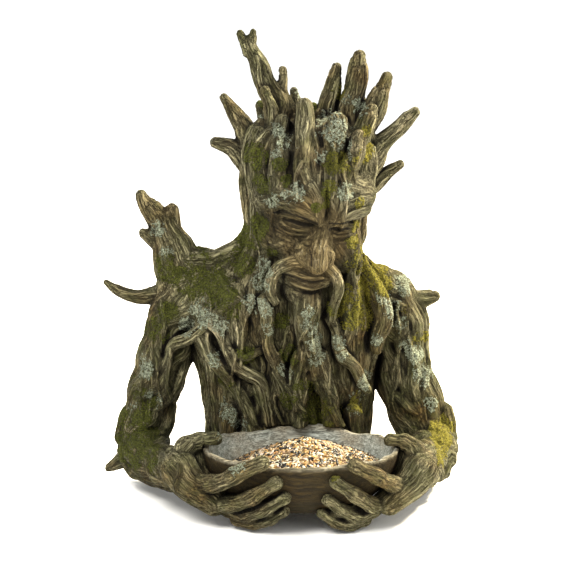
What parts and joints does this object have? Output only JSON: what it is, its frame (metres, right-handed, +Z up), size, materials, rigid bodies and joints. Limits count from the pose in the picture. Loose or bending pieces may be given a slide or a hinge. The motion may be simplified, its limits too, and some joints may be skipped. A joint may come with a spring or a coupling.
{
  "type": "tree face bird feeder",
  "caption": "Carved tree spirit bust with a crown of broken branches and a root beard, holding a shallow oval seed bowl in both hands",
  "frame": {"origin": "middle of the trunk's flat underside, on the ground", "axes": "+X to the viewer's right, +Y towards the back, +Z up; the bowl is in front, at -Y"},
  "size_m": [0.4586, 0.307, 0.5861],
  "materials": {
    "carved_wood": "weathered and deeply grained, with moss and lichen",
    "bowl_wood": "smooth weathered grey brown"
  },
  "bodies": {
    "root": {"figure": "carved_wood", "seed_bowl": "bowl_wood"}
  },
  "joints": []
}
